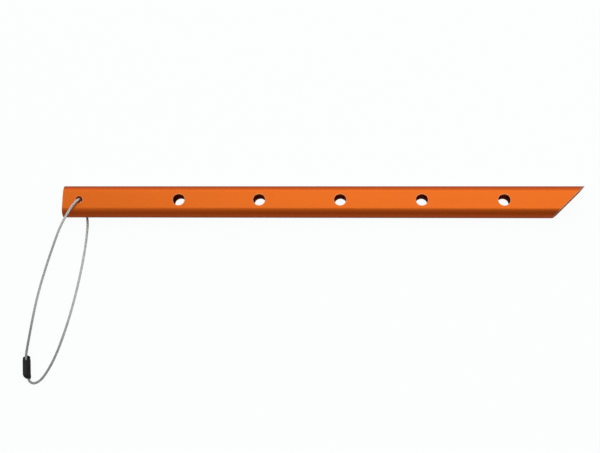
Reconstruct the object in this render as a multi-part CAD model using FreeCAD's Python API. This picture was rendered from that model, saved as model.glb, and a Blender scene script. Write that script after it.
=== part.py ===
"""Snow stake: an extruded flat-oval tube, cut to a point, with a wire-rope loop through its head.

Millimetres. +X runs along the stake from its square-cut head to its point, +Y runs across its
width to the side where the point is longest, and +Z is up, out of the face that the stake shows
as it lies. The origin is the middle of the tube. The stake lies on its flat side: its point
touches the ground, and its head rests on the wire rope that passes under it.
"""
import FreeCAD, Part
import math
import os

from FreeCAD import Placement, Rotation, Vector

# Tube
stake_length = 500.0
stake_width = 31.0
stake_depth = 16.0
tube_wall = 2.0
tip_angle = 45.0  # degrees between the cut and the length of the tube
edge_break = 0.3  # sawn ends are deburred by this much

# Holes to clip a karabiner or a sling through, in a row along the middle of the flat sides
clip_hole_count = 5
clip_hole_diameter = 11.2
clip_hole_pitch = 77.5
first_clip_hole_from_head = 113.2
clip_hole_chamfer = 0.4

# Hole for the wire rope
rope_hole_diameter = 6.5
rope_hole_from_head = 16.2
rope_hole_chamfer = 0.4

# Wire rope
rope_diameter = 2.4
rope_gap = 0.4  # between the rope and the flat side that it crosses
corner_share = 0.45  # part of the shorter run that an arc of the rope takes up

# Turn of the rope through the tube: how far its three corners lie behind the axis of the hole
over_offset = 0.8
middle_offset = 1.5
under_offset = 1.4
over_rise = 0.2  # extra height of the corner over the stake
over_heading = -144.6  # degrees from +X, the way the rope leaves over the stake
middle_heading = -105.0
under_heading = -68.0  # degrees from +X, the way the rope leaves under it

# Pressed ferrule, with the two rope ends side by side in it
ferrule_length = 13.0
ferrule_wall = 1.2
rope_web = 0.2  # metal between the two ropes
ferrule_chamfer = 0.5
ferrule_x = -42.3  # middle of the ferrule, from the axis of the rope hole
ferrule_y = -160.4
ferrule_lift = 4.05  # height of its middle over the ground
ferrule_heading = -84.5  # degrees from +X
ferrule_roll = -62.0  # degrees about its own length

# Heat-shrunk sleeve over the ferrule
sleeve_wall = 0.45
sleeve_overhang = 5.2  # past each end of the ferrule
mouth_squeeze = 0.5  # how much narrower the open mouth is than the body
mouth_slant = 20.0  # degrees between the cut of the mouth and a square cut
neck_gap = 0.5  # between the rope and the neck that it leaves by
neck_y = 2.0  # middle of the neck's end, from the axis of the ferrule
neck_z = 0.3

# Places that follow from the sizes
head_x = -stake_length / 2
tip_x = stake_length / 2
half_depth = stake_depth / 2
half_flat = (stake_width - stake_depth) / 2
rope_radius = rope_diameter / 2
rope_hole_x = head_x + rope_hole_from_head
tip_cut_slope = 1 / math.tan(math.radians(tip_angle))
tip_rest_x = tip_x - half_depth * tip_cut_slope
rope_offset = (rope_diameter + rope_web) / 2
leg_height = half_depth + rope_gap + rope_radius


def ground_height(x):
    """Height of the ground at x, from the tip's rest to the rope under the head."""
    under_head = -leg_height - rope_radius
    rise = -half_depth - under_head
    return under_head + rise * (x - rope_hole_x) / (tip_rest_x - rope_hole_x)


def flat_oval(across, thick, x, y=0.0, z=0.0):
    """Outline square to X: two straight sides joined by two half rounds, with its middle at y, z."""
    flat = (across - thick) / 2
    top_left = Vector(x, y - flat, z + thick / 2)
    top_right = Vector(x, y + flat, z + thick / 2)
    low_right = Vector(x, y + flat, z - thick / 2)
    low_left = Vector(x, y - flat, z - thick / 2)
    right = Vector(x, y + flat + thick / 2, z)
    left = Vector(x, y - flat - thick / 2, z)
    edges = [
        Part.LineSegment(top_left, top_right).toShape(),
        Part.Arc(top_right, right, low_right).toShape(),
        Part.LineSegment(low_right, low_left).toShape(),
        Part.Arc(low_left, left, top_left).toShape(),
    ]
    return Part.Wire(edges)


def prism(outline, length):
    """Solid made by pushing an outline along +X."""
    return Part.Face(outline).extrude(Vector(length, 0, 0))


def hole_cutter(x, diameter, chamfer):
    """Turned cutter for one hole through both walls, with its outer rims chamfered."""
    radius = diameter / 2
    reach = 1.0
    half_outline = [
        Vector(x, 0, 0),
        Vector(x + radius, 0, 0),
        Vector(x + radius, 0, half_depth - chamfer),
        Vector(x + radius + chamfer + reach, 0, half_depth + reach),
        Vector(x, 0, half_depth + reach),
        Vector(x, 0, 0),
    ]
    upper = Part.Face(Part.makePolygon(half_outline))
    upper = upper.revolve(Vector(x, 0, 0), Vector(0, 0, 1), 360)
    lower = upper.mirror(Vector(x, 0, 0), Vector(0, 0, 1))
    return upper.fuse(lower).removeSplitter()


def slanting_end():
    """Block that takes away everything past the slanting cut of the tip."""
    half_width = stake_width / 2
    reach = stake_width
    long_side = Vector(tip_x + half_width * tip_cut_slope, stake_width, -reach)
    short_side = Vector(long_side.x - 2 * stake_width * tip_cut_slope, -stake_width, -reach)
    beyond = Vector(tip_x + 2 * reach, -stake_width, -reach)
    beyond_long = Vector(tip_x + 2 * reach, stake_width, -reach)
    outline = Part.makePolygon([long_side, short_side, beyond, beyond_long, long_side])
    return Part.Face(outline).extrude(Vector(0, 0, 2 * reach))


def stake_tube():
    """Extruded tube, sawn square at the head and slanting at the tip, then drilled and deburred."""
    bore_width = stake_width - 2 * tube_wall
    bore_depth = stake_depth - 2 * tube_wall
    bore = prism(flat_oval(bore_width, bore_depth, head_x - 1), stake_length + 2)
    tube = prism(flat_oval(stake_width, stake_depth, head_x), stake_length)
    tube = tube.cut(bore).cut(slanting_end())
    rims = [edge for edge in tube.Edges if edge.BoundBox.XMax < head_x + edge_break / 10]
    tube = tube.makeChamfer(edge_break, rims)
    for number in range(clip_hole_count):
        x = head_x + first_clip_hole_from_head + number * clip_hole_pitch
        tube = tube.cut(hole_cutter(x, clip_hole_diameter, clip_hole_chamfer))
    return tube.cut(hole_cutter(rope_hole_x, rope_hole_diameter, rope_hole_chamfer))


def ferrule_place():
    """Where the ferrule lies: local +X along it, and its ropes side by side along local Y."""
    x = rope_hole_x + ferrule_x
    heading = Rotation(Vector(0, 0, 1), ferrule_heading)
    roll = Rotation(Vector(1, 0, 0), ferrule_roll)
    return Placement(Vector(x, ferrule_y, ground_height(x) + ferrule_lift), heading * roll)


def ferrule():
    """Metal sleeve pressed onto both rope ends."""
    across = 2 * (rope_offset + rope_radius + ferrule_wall)
    thick = 2 * (rope_radius + ferrule_wall)
    start = -ferrule_length / 2
    body = prism(flat_oval(across, thick, start), ferrule_length)
    rims = [edge for edge in body.Edges if edge.BoundBox.XLength < ferrule_length / 10]
    body = body.makeChamfer(ferrule_chamfer, rims)
    for side in (-1, 1):
        seat = Vector(start, side * rope_offset, 0)
        body = body.cut(Part.makeCylinder(rope_radius, ferrule_length, seat, Vector(1, 0, 0)))
    body.Placement = ferrule_place()
    return body


def heat_shrink_sleeve():
    """Cover shrunk over the ferrule: a slanting open mouth, and a neck round the leaving rope."""
    across = 2 * (rope_offset + rope_radius + ferrule_wall)
    thick = 2 * (rope_radius + ferrule_wall)
    neck = rope_diameter + 2 * neck_gap
    neck_flat = (across - thick) / 5
    ferrule_end = ferrule_length / 2
    sleeve_end = ferrule_end + sleeve_overhang

    def open_end(grow, reach):
        """Mouth and body as one solid, grown sideways by one wall or none and longer by reach."""
        narrowed = 2 * grow - mouth_squeeze
        mouth = flat_oval(across + narrowed, thick + narrowed, -sleeve_end - reach)
        body = flat_oval(across + 2 * grow, thick + 2 * grow, -ferrule_end)
        return Part.makeLoft([mouth, body], True, True).fuse(prism(body, ferrule_length))

    body_end = flat_oval(across + 2 * sleeve_wall, thick + 2 * sleeve_wall, ferrule_end)
    neck_width = neck + neck_flat + 2 * sleeve_wall
    neck_end = flat_oval(neck_width, neck + 2 * sleeve_wall, sleeve_end, neck_y, neck_z)
    outside = open_end(sleeve_wall, 0.0).fuse(Part.makeLoft([body_end, neck_end], True, True))

    # The neck's passage follows the rope that leaves the ferrule
    seat = Vector(ferrule_end, rope_offset, 0)
    leaving = Vector(sleeve_end, neck_y, neck_z) - seat
    step = leaving * 0.05
    passage = Part.makeCylinder(neck / 2, 1.1 * leaving.Length, seat - step, leaving)
    sleeve = outside.removeSplitter().cut(open_end(0.0, 0.01).fuse(passage).removeSplitter())
    lip = Vector(-sleeve_end, across / 2 + sleeve_wall, -across)
    past_lip = Part.makeBox(across, 3 * across, 2 * across, lip - Vector(across, 2 * across, 0))
    past_lip.rotate(lip, Vector(0, 0, 1), -mouth_slant)
    sleeve = sleeve.cut(past_lip)
    sleeve.Placement = ferrule_place()
    return sleeve


def on_ground(x, y, lift=rope_radius):
    """Point of the rope, given from the axis of its hole and by its height over the ground."""
    return Vector(rope_hole_x + x, y, ground_height(rope_hole_x + x) + lift)


def off_axis(heading, distance, height):
    """Point of the rope's turn in the tube, given by its distance from the axis of the hole."""
    angle = math.radians(heading)
    x = rope_hole_x + distance * math.cos(angle)
    return Vector(x, distance * math.sin(angle), height)


def in_ferrule(along, side):
    """Point on the axis of one of the ferrule's two ropes."""
    return ferrule_place().multVec(Vector(along, side * rope_offset, 0))


def rope_route():
    """Corners of the rope, from the end that has come over the stake to the end from under it."""
    ferrule_end = ferrule_length / 2
    return [
        in_ferrule(ferrule_end, -1),
        in_ferrule(-ferrule_end - 2.4, -1),
        on_ground(-44.0, -140.0, 1.5),
        on_ground(-40.1, -102.3),
        on_ground(-34.3, -75.5, 4.2),
        on_ground(-19.7, -38.7, 19.6),
        on_ground(-14.0, -23.2, 21.0),
        on_ground(-8.4, -6.2, 20.6),
        off_axis(over_heading, -over_offset, leg_height + over_rise),
        off_axis(middle_heading, -middle_offset, 0.0),
        off_axis(under_heading, -under_offset, -leg_height),
        on_ground(5.6, -12.4),
        on_ground(6.0, -32.6),
        on_ground(2.8, -66.1),
        on_ground(-4.2, -107.1),
        on_ground(-15.2, -148.0),
        on_ground(-26.2, -170.3),
        on_ground(-34.0, -175.9),
        on_ground(-38.9, -174.3, 1.6),
        in_ferrule(ferrule_end + 3.0, 1),
        in_ferrule(-ferrule_end, 1),
    ]


def rounded_path(corners):
    """Straight runs joined by arcs, each as large as its two runs allow, and the arcs' radii."""
    edges = []
    radii = []
    last = corners[0]
    for before, corner, after in zip(corners, corners[1:], corners[2:]):
        setback = corner_share * min((corner - before).Length, (after - corner).Length)
        arriving = (corner - before).normalize()
        leaving = (after - corner).normalize()
        half_turn = arriving.getAngle(leaving) / 2
        radius = setback / math.tan(half_turn)
        inward = (leaving - arriving).normalize()
        start = corner - arriving * setback
        middle = corner + inward * (radius / math.cos(half_turn) - radius)
        end = corner + leaving * setback
        edges.append(Part.LineSegment(last, start).toShape())
        edges.append(Part.Arc(start, middle, end).toShape())
        radii.append(radius)
        last = end
    edges.append(Part.LineSegment(last, corners[-1]).toShape())
    return Part.Wire(edges), radii


def wire_rope():
    """Round rope swept along its route."""
    corners = rope_route()
    path, radii = rounded_path(corners)
    section = Part.Wire(Part.makeCircle(rope_radius, corners[0], corners[1] - corners[0]))
    rope = path.makePipeShell([section], True, False)
    expected = math.pi * rope_radius**2 * path.Length
    print("rope length %.1f mm" % path.Length)
    print("rope arc radii, mm:", " ".join("%.1f" % radius for radius in radii))
    print("rope volume %.1f, section times length %.1f mm3" % (rope.Volume, expected))
    return rope


os.makedirs("parts", exist_ok=True)
pieces = {
    "stake_tube": stake_tube(),
    "wire_rope": wire_rope(),
    "ferrule": ferrule(),
    "heat_shrink_sleeve": heat_shrink_sleeve(),
}
for name, shape in pieces.items():
    shape.exportStep("parts/" + name + ".step")
    print(name, "valid" if shape.isValid() else "INVALID", "%d solids" % len(shape.Solids))
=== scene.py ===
"""Snow stake: an orange flat-oval alloy tube with a wire-rope carrying loop, lying on a pale floor."""

import math

import bpy
import numpy as np
from mathutils import Matrix, Vector


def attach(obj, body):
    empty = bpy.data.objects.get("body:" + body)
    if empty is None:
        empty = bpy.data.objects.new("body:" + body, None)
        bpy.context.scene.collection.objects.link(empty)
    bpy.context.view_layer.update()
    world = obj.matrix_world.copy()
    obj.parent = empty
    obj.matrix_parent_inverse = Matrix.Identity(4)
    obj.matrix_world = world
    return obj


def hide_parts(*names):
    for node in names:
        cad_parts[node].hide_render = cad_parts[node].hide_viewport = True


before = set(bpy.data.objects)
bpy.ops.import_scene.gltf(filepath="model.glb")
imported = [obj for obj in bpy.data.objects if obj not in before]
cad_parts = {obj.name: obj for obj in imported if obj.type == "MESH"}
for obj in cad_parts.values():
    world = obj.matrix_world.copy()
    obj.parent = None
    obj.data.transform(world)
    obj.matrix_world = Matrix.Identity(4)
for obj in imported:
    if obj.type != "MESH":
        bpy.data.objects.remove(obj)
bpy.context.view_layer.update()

# ---------------------------------------------------------------------------------------------
# Stake tube. One length of extruded aluminium alloy, sawn square at its head and slanting at its
# point. Five clip-in holes and the rope hole are drilled and countersunk through both flat sides,
# and the whole is then anodised orange, so that every edge of it carries the same thin skin.

HALF_LENGTH = 0.250
HALF_DEPTH = 0.008
HALF_FLAT = 0.0075  # of the straight stretch between the two half rounds
TUBE_WALL = 0.002
TUBE_SIDES = 96
FIRST_CLIP_HOLE = -0.1368  # from the middle of the tube, as all places here
CLIP_HOLE_PITCH = 0.0775
CLIP_HOLE_COUNT = 5
CLIP_HOLE_RADIUS = 0.0056
ROPE_HOLE = -0.2338
ROPE_HOLE_RADIUS = 0.00325
HOLE_SIDES = 72
COUNTERSINK = 0.0004
EDGE_BREAK = 0.0003
TIP_CUT = HALF_LENGTH - HALF_FLAT - HALF_DEPTH  # x less y, anywhere on the slanting cut
RIM_WEAR_AND_GLINT = (0.0002, 0.0004)  # distances from a rim between which its wear and painted highlight fade out
EDGE_WEAR = (0.0001, 0.0005)
ROUND_PAINTED_SHADE = (0.0072, 0.0125)  # distances from the middle between which painted shade turns the orange darker and redder
SAME_PLACE = 1e-5

HOLES = [
    (FIRST_CLIP_HOLE + CLIP_HOLE_PITCH * number, CLIP_HOLE_RADIUS)
    for number in range(CLIP_HOLE_COUNT)
]
HOLES.append((ROPE_HOLE, ROPE_HOLE_RADIUS))


class Socket:
    """A socket in a material's nodes. Arithmetic on it adds Math nodes, add() adds any other node."""

    def __init__(self, tree, output=None):
        self.tree = tree
        self.output = output

    def add(self, kind, settings, inputs, output=0):
        node = self.tree.nodes.new(kind)
        for name, value in settings.items():
            setattr(node, name, value)
        for name, value in inputs.items():
            if isinstance(value, Socket):
                self.tree.links.new(value.output, node.inputs[name])
            else:
                node.inputs[name].default_value = value
        return Socket(self.tree, None if output is None else node.outputs[output])

    def maths(self, operation, *others):
        inputs = dict(enumerate((self, *others)))
        return self.add("ShaderNodeMath", {"operation": operation}, inputs)

    def __add__(self, other):
        return self.maths("ADD", other)

    def __sub__(self, other):
        return self.maths("SUBTRACT", other)

    def __rsub__(self, other):
        return self.add("ShaderNodeMath", {"operation": "SUBTRACT"}, {0: other, 1: self})

    def __mul__(self, other):
        return self.maths("MULTIPLY", other)

    def __pow__(self, other):
        return self.maths("POWER", other)

    __radd__ = __add__
    __rmul__ = __mul__

    def size(self):
        return self.maths("ABSOLUTE")

    def step(self, low, high):
        """0 where this is below low, 1 where it is above high, and smooth between."""
        return self.add(
            "ShaderNodeMapRange",
            {"interpolation_type": "SMOOTHSTEP"},
            {0: self, 1: low, 2: high, 3: 0.0, 4: 1.0},
        )

    def stretched(self, scale):
        return self.add("ShaderNodeVectorMath", {"operation": "MULTIPLY"}, {0: self, 1: scale})

    def noise(self, scale, detail=2.0):
        return self.add(
            "ShaderNodeTexNoise", {}, {"Vector": self, "Scale": scale, "Detail": detail}
        )

    def blend(self, first, second):
        """Colour between two colours, with this as the share of the second."""
        settings = {"data_type": "RGBA"}
        return self.add("ShaderNodeMix", settings, {0: self, 6: first, 7: second}, 2)

    def bump(self, strength, distance):
        return self.add(
            "ShaderNodeBump", {}, {"Strength": strength, "Distance": distance, "Height": self}
        )


def new_finish(name):
    """Empty material, and a socket from which to build its nodes."""
    material = bpy.data.materials.new(name)
    material.use_nodes = True
    material.node_tree.nodes.clear()
    return material, Socket(material.node_tree)


def shade(start, inputs):
    """Ends a material in one Principled shader."""
    shader = start.add("ShaderNodeBsdfPrincipled", {}, inputs)
    start.add("ShaderNodeOutputMaterial", {}, {"Surface": shader}, output=None)


def place_on(start):
    """Object coordinates, and the three lengths in them."""
    point = start.add("ShaderNodeTexCoord", {}, {}, "Object")
    parts = start.add("ShaderNodeSeparateXYZ", {}, {"Vector": point})
    node = parts.output.node
    return point, [Socket(start.tree, node.outputs[axis]) for axis in "XYZ"]


def orange_anodising():
    material, start = new_finish("orange_anodised_aluminium")
    point, (x, y, z) = place_on(start)
    die_lines = point.stretched((4.0, 2600.0, 2600.0)).noise(1.0, 3.0)
    drift = point.stretched((14.0, 60.0, 60.0)).noise(1.0, 2.0)
    scuffs = point.stretched((90.0, 900.0, 900.0)).noise(1.0, 4.0)

    # Worn edges, paler: the rims of the holes, which also carry a painted highlight, the head, and the
    # slanting cut, which is worn palest
    outside = z.size().step(HALF_DEPTH - 2 * EDGE_BREAK, HALF_DEPTH - EDGE_BREAK)
    rims = 0.0
    for centre, radius in HOLES:
        away = ((x - centre) ** 2.0 + y ** 2.0) ** 0.5
        rims = 1.0 - (away - (radius + COUNTERSINK / 2)).size().step(*RIM_WEAR_AND_GLINT) + rims
    cut_edge = 1.0 - (x - y - TIP_CUT).size().step(*EDGE_WEAR)
    head_edge = 1.0 - (x + HALF_LENGTH).step(*EDGE_WEAR)
    wear_and_glint = (rims * outside * 0.5 + cut_edge + head_edge * 0.5) * (0.75 + 0.5 * scuffs)

    # Orange, with painted shade that makes it darker and redder where the tube rounds off
    orange = (0.2 + 0.6 * drift).blend((0.76, 0.150, 0.0085, 1.0), (0.73, 0.138, 0.0065, 1.0))
    orange = (y.size().step(*ROUND_PAINTED_SHADE) * 0.65).blend(orange, (0.66, 0.085, 0.0045, 1.0))
    pale_edge_colour = cut_edge.blend((0.86, 0.42, 0.22, 1.0), (0.70, 0.52, 0.43, 1.0))
    colour = wear_and_glint.blend(orange, pale_edge_colour)
    rough = 0.3 + 0.12 * die_lines + 0.06 * scuffs - 0.05 * wear_and_glint
    relief = die_lines * 0.6 + scuffs * 0.25
    shade(
        start,
        {
            "Base Color": colour,
            "Metallic": 0.92,
            "Roughness": rough,
            "Normal": relief.bump(0.25, 0.00004),
            "Coat Weight": 0.15,
            "Coat Roughness": 0.25,
        },
    )
    return material


def select_where(piece, test):
    """In edit mode, selects the vertices that pass a test on their place, and nothing else."""
    bpy.ops.mesh.select_all(action="DESELECT")
    bpy.ops.object.mode_set(mode="OBJECT")
    for vertex in piece.data.vertices:
        vertex.select = test(vertex.co)
    bpy.ops.object.mode_set(mode="EDIT")


def open_bar(radius, half_flat, length, sides, ends="NOTHING"):
    """Flat-oval bar along X, left in edit mode: a round one, drawn apart at its middle."""
    bpy.ops.object.select_all(action="DESELECT")
    bpy.ops.mesh.primitive_cylinder_add(
        vertices=sides,
        radius=radius,
        depth=length,
        end_fill_type=ends,
        rotation=(0, math.pi / 2, 0),
    )
    bar = bpy.context.object
    bpy.ops.object.transform_apply(location=True, rotation=True, scale=True)
    bpy.ops.object.mode_set(mode="EDIT")
    bpy.context.tool_settings.mesh_select_mode = (True, False, False)
    for side in (-1, 1):
        select_where(bar, lambda place: place.y * side > radius / 1000)
        bpy.ops.transform.translate(value=(0, side * half_flat, 0))
    return bar


def cut_away(piece, cutter):
    """Takes the cutter's shape out of the piece, and drops the cutter."""
    cut = piece.modifiers.new("cut", "BOOLEAN")
    cut.object = cutter
    cut.solver = "EXACT"
    bpy.ops.object.select_all(action="DESELECT")
    bpy.context.view_layer.objects.active = piece
    piece.select_set(True)
    bpy.ops.object.modifier_apply(modifier="cut")
    bpy.data.objects.remove(cutter)


def soften_rims(piece, test, width):
    """Bevels the edges between vertices that pass a test on their place."""
    select_where(piece, test)
    bpy.ops.mesh.select_mode(type="EDGE")
    bpy.ops.mesh.bevel(offset=width, segments=2, affect="EDGES", loop_slide=False)
    bpy.ops.mesh.select_mode(type="VERT")


def drilled_tube():
    # Solid bar, bored from end to end and drilled across
    tube = open_bar(HALF_DEPTH, HALF_FLAT, 2 * HALF_LENGTH, TUBE_SIDES, "NGON")
    tube.name = "anodised_tube"
    bpy.ops.object.mode_set(mode="OBJECT")
    bore = open_bar(HALF_DEPTH - TUBE_WALL, HALF_FLAT, 2.1 * HALF_LENGTH, TUBE_SIDES, "NGON")
    bpy.ops.object.mode_set(mode="OBJECT")
    cut_away(tube, bore)
    for centre, radius in HOLES:
        bpy.ops.mesh.primitive_cylinder_add(
            vertices=HOLE_SIDES, radius=radius, depth=4 * HALF_DEPTH, location=(centre, 0, 0)
        )
        cut_away(tube, bpy.context.object)

    # Slanting saw cut, through the far corner of the point
    bpy.ops.object.mode_set(mode="EDIT")
    bpy.ops.mesh.select_all(action="SELECT")
    bpy.ops.mesh.bisect(
        plane_co=(HALF_LENGTH, HALF_FLAT + HALF_DEPTH, 0),
        plane_no=(1, -1, 0),
        use_fill=False,
        clear_outer=True,
    )
    bpy.ops.mesh.select_all(action="DESELECT")
    bpy.ops.mesh.select_mode(type="EDGE")
    bpy.ops.mesh.select_non_manifold(extend=False)
    bpy.ops.mesh.bridge_edge_loops()
    bpy.ops.mesh.select_mode(type="VERT")

    # Countersunk holes and deburred ends
    def on_rim(place):
        return abs(abs(place.z) - HALF_DEPTH) < SAME_PLACE and any(
            abs(math.hypot(place.x - centre, place.y) - radius) < SAME_PLACE
            for centre, radius in HOLES
        )

    def on_head(place):
        return abs(place.x + HALF_LENGTH) < SAME_PLACE

    def on_cut(place):
        return abs(place.x - place.y - TIP_CUT) < SAME_PLACE

    soften_rims(tube, on_rim, COUNTERSINK)
    soften_rims(tube, on_head, EDGE_BREAK)
    soften_rims(tube, on_cut, EDGE_BREAK / 2)
    bpy.ops.mesh.select_all(action="SELECT")
    bpy.ops.mesh.remove_doubles(threshold=SAME_PLACE / 10)
    bpy.ops.mesh.normals_make_consistent(inside=False)
    bpy.ops.object.mode_set(mode="OBJECT")
    bpy.ops.object.shade_smooth_by_angle(angle=math.radians(28))
    even = tube.modifiers.new("even shading", "WEIGHTED_NORMAL")
    even.keep_sharp = True
    bpy.ops.object.modifier_apply(modifier="even shading")
    return tube


tube = drilled_tube()
tube.data.materials.append(orange_anodising())
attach(tube, "stake")
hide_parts("stake_tube")

# ---------------------------------------------------------------------------------------------
# Wire rope. One length of galvanised 7 x 7 steel rope, six strands laid round a seventh. It passes
# over the head, down through both walls of the tube and back under it, and its two ends lie side
# by side in the ferrule at the far bend of the loop.

ROPE_DIAMETER = 0.0024
ROPE_ROUTE = [
    (-0.27608, -0.16693, -0.00585),
    (-0.27756, -0.15160, -0.00585),
    (-0.27780, -0.14000, -0.00956),
    (-0.27390, -0.10230, -0.00984),
    (-0.26810, -0.07550, -0.00680),
    (-0.25350, -0.03870, 0.00868),
    (-0.24780, -0.02320, 0.01012),
    (-0.23930, -0.00620, 0.00975),
    (-0.23315, 0.00046, 0.00980),
    (-0.23341, 0.00145, 0.00000),
    (-0.23475, 0.00165, -0.00960),
    (-0.22820, -0.01240, -0.00957),
    (-0.22780, -0.03260, -0.00956),
    (-0.23100, -0.06610, -0.00958),
    (-0.23800, -0.10710, -0.00962),
    (-0.24900, -0.14800, -0.00969),
    (-0.26000, -0.17030, -0.00975),
    (-0.26780, -0.17590, -0.00980),
    (-0.27270, -0.17430, -0.00943),
    (-0.27458, -0.16980, -0.00815),
    (-0.27507, -0.16478, -0.00815),
    (-0.27612, -0.15387, -0.00815),
]
ROPE_LAY = 0.0155  # length in which a strand goes round once
STRAND_RADIUS = ROPE_DIAMETER / 6
STRAND_SIDES = 9
STEPS_PER_LAY = 18
WIRES_ROUND_STRAND = 6
WIRE_TURNS_PER_LAY = 3
MOUTH_PLACE = (-0.2777, -0.1480, -0.0080)  # where the first leg enters the sleeve
PAINTED_SHADE_REACH = 0.07  # of the painted shade that darkens the rope there, along the rope


def rope_centreline(route):
    """Evenly spaced points on the smooth line of the route."""
    data = bpy.data.curves.new("rope_line", "CURVE")
    data.dimensions = "3D"
    data.resolution_u = 48
    spline = data.splines.new("NURBS")
    spline.points.add(len(route) - 1)
    for point, place in zip(spline.points, route):
        point.co = (*place, 1.0)
    spline.order_u = 3
    spline.use_endpoint_u = True
    line = bpy.data.objects.new("rope_line", data)
    bpy.context.scene.collection.objects.link(line)
    bpy.context.view_layer.update()
    mesh = bpy.data.meshes.new_from_object(line.evaluated_get(bpy.context.evaluated_depsgraph_get()))
    points = np.array([vertex.co for vertex in mesh.vertices])
    bpy.data.objects.remove(line)
    bpy.data.meshes.remove(mesh)
    travelled = np.append(0, np.cumsum(np.linalg.norm(np.diff(points, axis=0), axis=1)))
    count = int(travelled[-1] / ROPE_LAY * STEPS_PER_LAY)
    even = np.linspace(0, travelled[-1], count)
    return np.stack([np.interp(even, travelled, points[:, axis]) for axis in range(3)], 1)


def carried_frames(line):
    """Two directions square to a line, carried along it without turning about it."""
    along = np.gradient(line, axis=0)
    along /= np.linalg.norm(along, axis=1)[:, None]
    side = np.cross(along[0], (0.0, 0.0, 1.0))
    sides = []
    for direction in along:
        side = side - direction * side.dot(direction)
        side /= np.linalg.norm(side)
        sides.append(side)
    sides = np.array(sides)
    return sides, np.cross(along, sides)


def lay_strand(line, sides, ups, start_angle, reach):
    """Centreline of one strand that winds round the rope's own line."""
    travelled = np.append(0, np.cumsum(np.linalg.norm(np.diff(line, axis=0), axis=1)))
    angle = start_angle + travelled / ROPE_LAY * 2 * math.pi
    offset = np.cos(angle)[:, None] * sides + np.sin(angle)[:, None] * ups
    return line + offset * reach


def rope_mesh(line):
    """Seven round strands with closed ends, with a UV map that runs along and round each."""
    sides, ups = carried_frames(line)
    strands = [line] + [
        lay_strand(line, sides, ups, number * math.pi / 3, 2 * STRAND_RADIUS) for number in range(6)
    ]
    around = np.arange(STRAND_SIDES) * 2 * math.pi / STRAND_SIDES
    vertices, faces, depths, texture_places = [], [], [], []
    for strand in strands:
        first = len(vertices)
        across, upward = carried_frames(strand)
        count = len(strand)
        for centre, a, b, middle in zip(strand, across, upward, line):
            for angle in around:
                corner = centre + (a * math.cos(angle) + b * math.sin(angle)) * STRAND_RADIUS
                vertices.append(corner)
                depths.append(np.linalg.norm(corner - middle) / (ROPE_DIAMETER / 2))
        for ring in range(count - 1):
            for side in range(STRAND_SIDES):
                here = first + ring * STRAND_SIDES
                after = (side + 1) % STRAND_SIDES
                faces.append(
                    (
                        here + side,
                        here + after,
                        here + STRAND_SIDES + after,
                        here + STRAND_SIDES + side,
                    )
                )
                u0, u1 = ring / STEPS_PER_LAY, (ring + 1) / STEPS_PER_LAY
                v0, v1 = side / STRAND_SIDES, (side + 1) / STRAND_SIDES
                texture_places += [(u0, v0), (u0, v1), (u1, v1), (u1, v0)]
        faces.append(tuple(first + side for side in reversed(range(STRAND_SIDES))))
        last = first + (count - 1) * STRAND_SIDES
        faces.append(tuple(last + side for side in range(STRAND_SIDES)))
        texture_places += [(0.0, 0.0)] * (2 * STRAND_SIDES)
    mesh = bpy.data.meshes.new("wire_rope_strands")
    mesh.from_pydata([tuple(v) for v in vertices], [], faces)
    layer = mesh.uv_layers.new(name="along_and_round")
    layer.data.foreach_set("uv", np.array(texture_places, np.float32).ravel())
    attribute = mesh.attributes.new("depth", "FLOAT", "POINT")
    attribute.data.foreach_set("value", np.array(depths, np.float32))
    mesh.polygons.foreach_set("use_smooth", [len(face) == 4 for face in faces])
    mesh.update()
    return mesh


def rope_steel():
    material, start = new_finish("galvanised_wire_rope")
    point, _ = place_on(start)
    across = start.add("ShaderNodeUVMap", {"uv_map": "along_and_round"}, {})
    node = start.add("ShaderNodeSeparateXYZ", {}, {"Vector": across}).output.node
    u, v = Socket(start.tree, node.outputs["X"]), Socket(start.tree, node.outputs["Y"])
    turns = v * WIRES_ROUND_STRAND - u * WIRE_TURNS_PER_LAY
    wires = (turns * (2 * math.pi)).maths("COSINE") * 0.5 + 0.5
    outwards = start.add("ShaderNodeAttribute", {"attribute_name": "depth"}, {}, "Fac")
    groove = 1.0 - outwards.step(0.45, 0.92)
    mottle = point.noise(700.0, 3.0)
    from_mouth = start.add(
        "ShaderNodeVectorMath", {"operation": "DISTANCE"}, {0: point, 1: MOUTH_PLACE}, "Value"
    )
    mouth_shade = 1.0 - from_mouth.step(0.0, PAINTED_SHADE_REACH)
    zinc = (mottle * 0.8).blend((0.84, 0.84, 0.82, 1.0), (0.70, 0.70, 0.69, 1.0))
    # Painted shade: the zinc is darkened towards the mouth of the sleeve
    zinc = (mouth_shade * 0.7).blend(zinc, (0.2, 0.2, 0.2, 1.0))
    # Painted shade: darker in the grooves between the strands, and a little between the wires
    colour = (groove * 0.4 + (1.0 - wires) * 0.1).blend(zinc, (0.09, 0.09, 0.088, 1.0))
    shade(
        start,
        {
            "Base Color": colour,
            "Metallic": 0.85,
            "Roughness": 0.38 + 0.14 * mottle + 0.12 * groove,
            "Normal": wires.bump(0.6, 0.00006),
        },
    )
    return material


line = rope_centreline(ROPE_ROUTE)
rope = bpy.data.objects.new("laid_wire_rope", rope_mesh(line))
bpy.context.scene.collection.objects.link(rope)
rope.data.materials.append(rope_steel())
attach(rope, "rope_loop")
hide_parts("wire_rope")

# ---------------------------------------------------------------------------------------------
# Ferrule. A short aluminium sleeve with two bores, pressed flat-oval onto the two rope ends, which
# it holds side by side. The black sleeve hides it.


def pressed_metal():
    material, start = new_finish("pressed_aluminium")
    point, _ = place_on(start)
    grain = point.noise(1500.0, 3.0)
    colour = grain.blend((0.66, 0.66, 0.66, 1.0), (0.52, 0.52, 0.53, 1.0))
    shade(
        start,
        {
            "Base Color": colour,
            "Metallic": 1.0,
            "Roughness": 0.32 + 0.2 * grain,
            "Normal": grain.bump(0.3, 0.00005),
        },
    )
    return material


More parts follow.
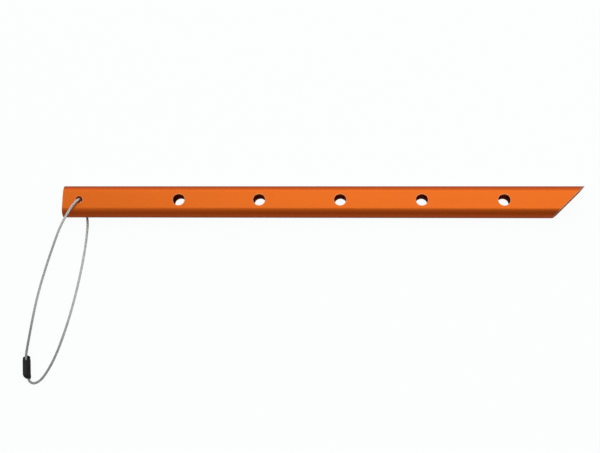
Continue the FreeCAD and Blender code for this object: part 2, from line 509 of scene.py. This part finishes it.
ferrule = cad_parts["ferrule"]
ferrule.data.materials.clear()
ferrule.data.materials.append(pressed_metal())

# ---------------------------------------------------------------------------------------------
# Heat-shrink sleeve. A cut length of black polyolefin tube, shrunk over the ferrule so that no wire
# end pricks. It stands open past the ferrule, in a slanting mouth that the first leg enters, and
# draws in to a neck round the second leg.

SLEEVE_HALF_FLAT = 0.0013
SLEEVE_RADIUS = 0.00285
SLEEVE_WALL = 0.00045
FERRULE_HALF = 0.0065
SLEEVE_HALF = 0.0117
SLEEVE_SIDES = 40
VALLEY_DEPTH = 0.0002  # dip of the skin between the two ropes
BODY_RINGS = (-0.94, -0.8, -0.5, -0.2, 0.1, 0.4, 0.7, 0.94)  # places, in halves of the ferrule
MOUTH_RINGS = ((-0.0003, 0.965), (-0.0006, 0.97), (-0.0012, 0.995), (-0.0014, 1.0))  # travel, scale
MOUTH_SLANT = math.radians(38)
MOUTH_TURN = math.radians(-51)  # of its long lip, about the sleeve, towards the ground
MOUTH_REACH = 0.0034  # of the long lip, from the middle of the sleeve
NECK_RINGS = (  # travel, sideways shift and scale
    (0.0009, (0.00010, 0.00003), 0.99),
    (0.0012, (0.00030, 0.00010), 0.965),
    (0.0009, (0.00025, 0.00006), 0.93),
    (0.0009, (0.00060, 0.00008), 0.78),
    (0.0008, (0.00080, 0.00006), 0.72),
)
CREASE_LENGTH = 0.0016
CREASE_HEIGHT = 0.00014
FERRULE_PLACE = (-0.2761, -0.1604, -0.006999)
FERRULE_HEADING = math.radians(-84.5)
FERRULE_ROLL = math.radians(-62)


def extrude_ring(piece, end, travel, shift, scale):
    """Draws the open ring at x = end out by travel, moves it sideways and scales it about itself."""
    select_where(piece, lambda place: abs(place.x - end) < SAME_PLACE)
    bpy.ops.mesh.extrude_edges_move(TRANSFORM_OT_translate={"value": (travel, *shift)})
    bpy.ops.transform.resize(value=(1.0, scale, scale))
    return end + travel


def shrunk_skin():
    # Tube shrunk to the flat oval of the ferrule, dipping between the two ropes
    skin = open_bar(SLEEVE_RADIUS, SLEEVE_HALF_FLAT, 2 * FERRULE_HALF, SLEEVE_SIDES)
    skin.name = "shrunk_black_sleeve"
    for side in (-1, 1):
        select_where(skin, lambda place: abs(place.y) < SAME_PLACE and place.z * side > 0)
        bpy.ops.transform.translate(value=(0, 0, -side * VALLEY_DEPTH))
    for ring in BODY_RINGS:
        bpy.ops.mesh.select_all(action="SELECT")
        bpy.ops.mesh.bisect(plane_co=(ring * FERRULE_HALF, 0, 0), plane_no=(1, 0, 0))

    # Mouth: a small shoulder at the ferrule's end, then a slightly narrower open tube
    end = -FERRULE_HALF
    for travel, scale in MOUTH_RINGS:
        end = extrude_ring(skin, end, travel, (0, 0), scale)
    end = extrude_ring(skin, end, -SLEEVE_HALF - end, (0, 0), 1.0)
    lip = Vector((0, math.cos(MOUTH_TURN), math.sin(MOUTH_TURN)))
    bpy.ops.mesh.select_all(action="SELECT")
    bpy.ops.mesh.bisect(
        plane_co=Vector((-SLEEVE_HALF, 0, 0)) + lip * MOUTH_REACH,
        plane_no=Vector((-math.cos(MOUTH_SLANT), 0, 0)) - lip * math.sin(MOUTH_SLANT),
        clear_outer=True,
    )

    # Neck: eased towards the rope that leaves, then closed round it
    end = FERRULE_HALF
    for travel, shift, scale in NECK_RINGS:
        end = extrude_ring(skin, end, travel, shift, scale)
    bpy.ops.object.mode_set(mode="OBJECT")

    # Thin wall, rounded and a little creased
    wall = skin.modifiers.new("wall", "SOLIDIFY")
    wall.thickness = SLEEVE_WALL
    wall.offset = -1.0
    rounding = skin.modifiers.new("rounding", "SUBSURF")
    rounding.levels = rounding.render_levels = 2
    wrinkles = bpy.data.textures.new("wrinkles", "CLOUDS")
    wrinkles.noise_scale = CREASE_LENGTH
    creased = skin.modifiers.new("creases", "DISPLACE")
    creased.texture = wrinkles
    creased.mid_level = 0.5
    creased.strength = CREASE_HEIGHT
    for modifier in ("wall", "rounding", "creases"):
        bpy.ops.object.modifier_apply(modifier=modifier)
    bpy.ops.object.shade_smooth()
    turn = Matrix.Rotation(FERRULE_HEADING, 4, "Z") @ Matrix.Rotation(FERRULE_ROLL, 4, "X")
    skin.matrix_world = Matrix.Translation(FERRULE_PLACE) @ turn
    bpy.ops.object.transform_apply(location=True, rotation=True, scale=True)
    return skin


def black_polyolefin():
    material, start = new_finish("black_heat_shrink")
    point, _ = place_on(start)
    fine = point.noise(2500.0, 3.0)
    cloudy = point.noise(260.0, 2.0)
    colour = cloudy.blend((0.008, 0.008, 0.009, 1.0), (0.014, 0.014, 0.015, 1.0))
    shade(
        start,
        {
            "Base Color": colour,
            "Roughness": 0.36 + 0.16 * cloudy + 0.08 * fine,
            "Normal": (fine * 0.4 + cloudy).bump(0.25, 0.0001),
            "Specular IOR Level": 0.3,
        },
    )
    return material


sleeve = shrunk_skin()
sleeve.data.materials.append(black_polyolefin())
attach(sleeve, "rope_loop")
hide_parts("heat_shrink_sleeve")

# ---------------------------------------------------------------------------------------------
# Floor. A plain near-white sheet, which the point of the tube and the rope under its head rest on.

ROPE_GAP = 0.0004  # between the rope and the flat side that it crosses
TIP_REST = HALF_LENGTH - HALF_DEPTH  # where the slanting cut meets the floor
FLOOR_UNDER_HEAD = -(HALF_DEPTH + ROPE_GAP + ROPE_DIAMETER)
FLOOR_RISE = (-HALF_DEPTH - FLOOR_UNDER_HEAD) / (TIP_REST - ROPE_HOLE)


def pale_floor():
    """Matt sheet that glows where it is looked at, apart from a share that still takes the shadow."""
    material, start = new_finish("pale_floor")
    path = start.add("ShaderNodeLightPath", {}, {}, "Is Camera Ray")
    outputs = path.output.node.outputs
    seen = (path + Socket(start.tree, outputs["Is Transmission Ray"])) * 0.92
    matt = start.add("ShaderNodeBsdfDiffuse", {}, {"Color": (0.6, 0.6, 0.6, 1.0)})
    glow = start.add("ShaderNodeEmission", {}, {"Color": (0.985, 1.0, 1.0, 1.0), "Strength": 1.04})
    both = start.add("ShaderNodeMixShader", {}, {0: seen, 1: matt, 2: glow})
    start.add("ShaderNodeOutputMaterial", {}, {"Surface": both}, output=None)
    return material


def floor_height(x):
    return FLOOR_UNDER_HEAD + (x - ROPE_HOLE) * FLOOR_RISE


bpy.ops.object.select_all(action="DESELECT")
bpy.ops.mesh.primitive_plane_add(
    size=6.0,
    location=(0, 0, floor_height(0.0)),
    rotation=(0, -math.atan(FLOOR_RISE), 0),
)
floor = bpy.context.object
floor.name = "floor"
floor.data.materials.append(pale_floor())

# ---------------------------------------------------------------------------------------------
# Light. A wide softbox overhead and behind the stake, a weaker one to the left, and a room whose
# walls are pale behind the stake and grey in front of it.


def softbox(name, place, target, size, power):
    data = bpy.data.lights.new(name, "AREA")
    data.shape = "RECTANGLE"
    data.size, data.size_y = size
    data.energy = power
    lamp = bpy.data.objects.new(name, data)
    bpy.context.scene.collection.objects.link(lamp)
    lamp.location = place
    lamp.rotation_euler = (Vector(place) - Vector(target)).to_track_quat("Z", "Y").to_euler()


softbox("overhead_softbox", (0.34, 0.62, 1.35), (0.1, 0, 0), (1.9, 1.1), 5.1)
softbox("side_softbox", (-1.5, 1.3, 0.9), (0, 0, 0), (1.4, 1.2), 2.0)

room = bpy.data.worlds.new("room")
bpy.context.scene.world = room
room.use_nodes = True
room.node_tree.nodes.clear()
start = Socket(room.node_tree)
towards = start.add("ShaderNodeTexCoord", {}, {}, "Generated")
parts = start.add("ShaderNodeSeparateXYZ", {}, {"Vector": towards}).output.node
right, behind = Socket(start.tree, parts.outputs["X"]), Socket(start.tree, parts.outputs["Y"])
paler = (behind - 0.6 * right).step(-1.0, 0.9)
walls = paler.blend((0.25, 0.25, 0.25, 1.0), (0.85, 0.85, 0.85, 1.0))
seen = start.add("ShaderNodeLightPath", {}, {}, "Is Camera Ray")
light = start.add("ShaderNodeBackground", {}, {"Color": walls})
white = start.add("ShaderNodeBackground", {}, {"Color": (0.95, 0.96, 0.96, 1.0)})
both = start.add("ShaderNodeMixShader", {}, {0: seen, 1: light, 2: white})
start.add("ShaderNodeOutputWorld", {}, {"Surface": both}, output=None)

# ---------------------------------------------------------------------------------------------
# Camera. About a metre above the stake and a little in front of it, looking down and back.

CAMERA_PLACE = (0.0441, -0.3187, 1.0630)
CAMERA_RIGHT = (0.9983, 0.0175, -0.0555)
CAMERA_UP = (-0.0021, 0.9637, 0.2669)
CAMERA_BACK = (0.0581, -0.2664, 0.9621)
FILM_WIDTH = 36.0  # in millimetres, like the focal length
FOCAL_LENGTH = 69.42

camera_data = bpy.data.cameras.new("camera")
camera_data.sensor_width = FILM_WIDTH
camera_data.lens = FOCAL_LENGTH
camera = bpy.data.objects.new("camera", camera_data)
bpy.context.scene.collection.objects.link(camera)
turn = Matrix((CAMERA_RIGHT, CAMERA_UP, CAMERA_BACK)).transposed().to_4x4()
camera.matrix_world = Matrix.Translation(CAMERA_PLACE) @ turn
bpy.context.scene.camera = camera
bpy.context.scene.view_settings.view_transform = "Standard"
